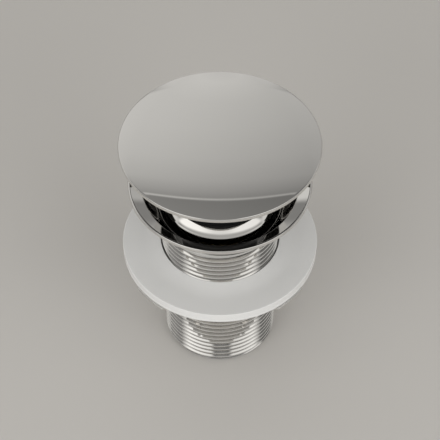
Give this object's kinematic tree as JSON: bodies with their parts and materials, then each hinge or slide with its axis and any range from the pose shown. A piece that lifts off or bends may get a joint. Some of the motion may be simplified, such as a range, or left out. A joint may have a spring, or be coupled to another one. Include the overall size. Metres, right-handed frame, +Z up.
{
  "type": "sprung plug basin waste",
  "caption": "Sprung plug basin waste: chromed bowl flange on a threaded tail, a domed press-to-close plug on a spring mechanism, and white washers with a lugged backnut to clamp the basin.",
  "frame": {"origin": "centre of the tail's end face, which the part stands on", "axes": "+Z up along the tail's axis towards the cap; a bridge arm points along -Y, towards the picture's viewer"},
  "size_m": [0.07, 0.07, 0.1042],
  "materials": {
    "chrome": "polished chrome plate on brass",
    "black_plastic": "moulded, satin",
    "black_rubber": "moulded, matte",
    "white_plastic": "moulded, glossy",
    "brass": "turned, bare",
    "steel": "bright stainless",
    "acetal": "moulded, satin"
  },
  "bodies": {
    "waste": {"waste_body": "chrome", "barrel": "brass", "barrel_locknut": "brass", "barrel_cap": "brass", "plunger_seal": "black_rubber", "guide_crown": "acetal", "return_spring": "steel"},
    "plug": {"plug_cap": "chrome", "cap_carrier": "black_plastic", "seal_retainer": "chrome", "plug_seal": "black_rubber", "clamp_washer": "steel", "clamp_nut": "brass", "plunger": "brass"},
    "index": {"index_ring": "acetal"},
    "washers": {"basin_washer": "white_plastic", "slip_washer": "white_plastic"},
    "nut": {"backnut": "chrome"}
  },
  "joints": [
    {"name": "plug_slide", "type": "slide", "parent": "waste", "child": "plug", "axis": [0, 0, 1], "range_m": [-0.0045, 0], "stiffness_N_per_m": 1200, "springref_m": 0.012, "deforming": ["return_spring"]},
    {"name": "index_turn", "type": "hinge", "parent": "plug", "child": "index", "pos_m": [0, 0, 0.045], "axis": [0, 0, 1], "range_deg": [0, 45]},
    {"name": "washers_slide", "type": "slide", "parent": "waste", "child": "washers", "axis": [0, 0, 1], "range_m": [-0.03002, 0.01155]},
    {"name": "backnut_turn", "type": "hinge", "parent": "washers", "child": "nut", "pos_m": [0, 0, 0.041], "axis": [0, 0, 1], "range_deg": [-4680, 1800]}
  ],
  "couplings": [
    {"joint": "index_turn", "follows": "plug_slide", "rad_per_m": -174.53},
    {"joint": "washers_slide", "follows": "backnut_turn", "m_per_rad": 0.00036749}
  ]
}
